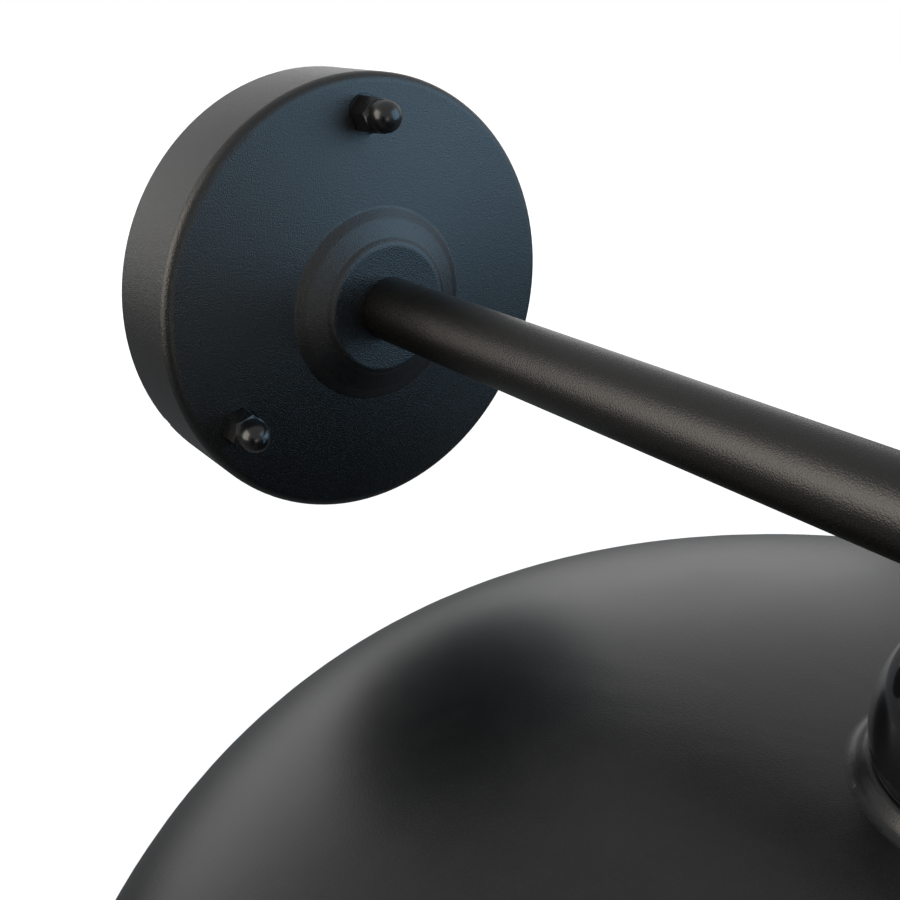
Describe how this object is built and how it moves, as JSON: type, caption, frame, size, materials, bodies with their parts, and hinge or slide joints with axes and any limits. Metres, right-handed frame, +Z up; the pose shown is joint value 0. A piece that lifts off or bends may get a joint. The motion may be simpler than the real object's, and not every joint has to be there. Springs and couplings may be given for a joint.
{
  "type": "wall light",
  "caption": "Hanging wall light: a round wall plate with domed nuts, a straight tube arm and a wide dome shade on a friction swivel.",
  "frame": {"origin": "middle of the bracket's back, on the wall", "axes": "+Y into the wall, the arm along -Y, +Z up"},
  "size_m": [0.3026, 0.3403, 0.1559],
  "materials": {
    "plate_paint": "fine-grained black powder coat, satin",
    "arm_paint": "fine-grained black powder coat, satin",
    "swivel_paint": "fine-grained black powder coat, satin",
    "shade_paint": "fine-grained black powder coat, satin",
    "cap_gloss": "smooth glossy black",
    "nut_gloss": "smooth glossy black",
    "black_screw": "black, half matt",
    "zinc_sheet": "zinc plated sheet steel",
    "zinc_screw": "zinc plated steel",
    "washer_fibre": "pressed fibre, matt",
    "brass_turned": "turned brass",
    "brass_sheet": "drawn brass sheet",
    "tinned_lug": "tinned, half bright",
    "block_plastic": "moulded, half matt",
    "holder_plastic": "moulded, half gloss",
    "insert_ceramic": "glazed steatite",
    "wire_earth": "soft insulation, green with a yellow stripe",
    "wire_live": "soft insulation, brown",
    "wire_neutral": "soft insulation, blue"
  },
  "bodies": {
    "wall_arm": {"wall_plate": "plate_paint", "wall_bracket": "zinc_sheet", "bracket_studs": "zinc_screw", "stud_lock_nuts": "zinc_screw", "cap_nuts": "nut_gloss", "terminal_block": "block_plastic", "block_sleeves": "brass_turned", "clamp_screws": "zinc_screw", "block_screws": "zinc_screw", "earth_lug": "tinned_lug", "earth_screw": "zinc_screw", "earth_wire": "wire_earth", "live_wire": "wire_live", "neutral_wire": "wire_neutral", "arm_tube": "arm_paint", "arm_bush": "brass_turned", "arm_nipple": "brass_turned", "arm_load_washer": "zinc_sheet", "arm_tooth_washer": "zinc_sheet", "arm_lock_nut": "zinc_screw", "swivel_fork": "swivel_paint", "pivot_screw": "black_screw", "pivot_nut": "black_screw", "friction_washers": "washer_fibre"},
    "lamp_head": {"swivel_drum": "swivel_paint", "cap_tooth_washer": "zinc_sheet", "cap_lock_nut": "zinc_screw", "holder_cap": "cap_gloss", "holder_barrel": "holder_plastic", "holder_insert": "insert_ceramic", "screw_shell": "brass_sheet", "centre_contact": "brass_sheet", "live_terminal": "brass_turned", "neutral_terminal": "brass_turned", "terminal_screws": "zinc_screw", "live_lead": "wire_live", "neutral_lead": "wire_neutral", "shade": "shade_paint", "shade_ring": "holder_plastic"}
  },
  "joints": [
    {"name": "shade_tilt", "type": "hinge", "parent": "wall_arm", "child": "lamp_head", "pos_m": [0, -0.189, 0], "axis": [1, 0, 0], "range_deg": [-60, 8]}
  ]
}
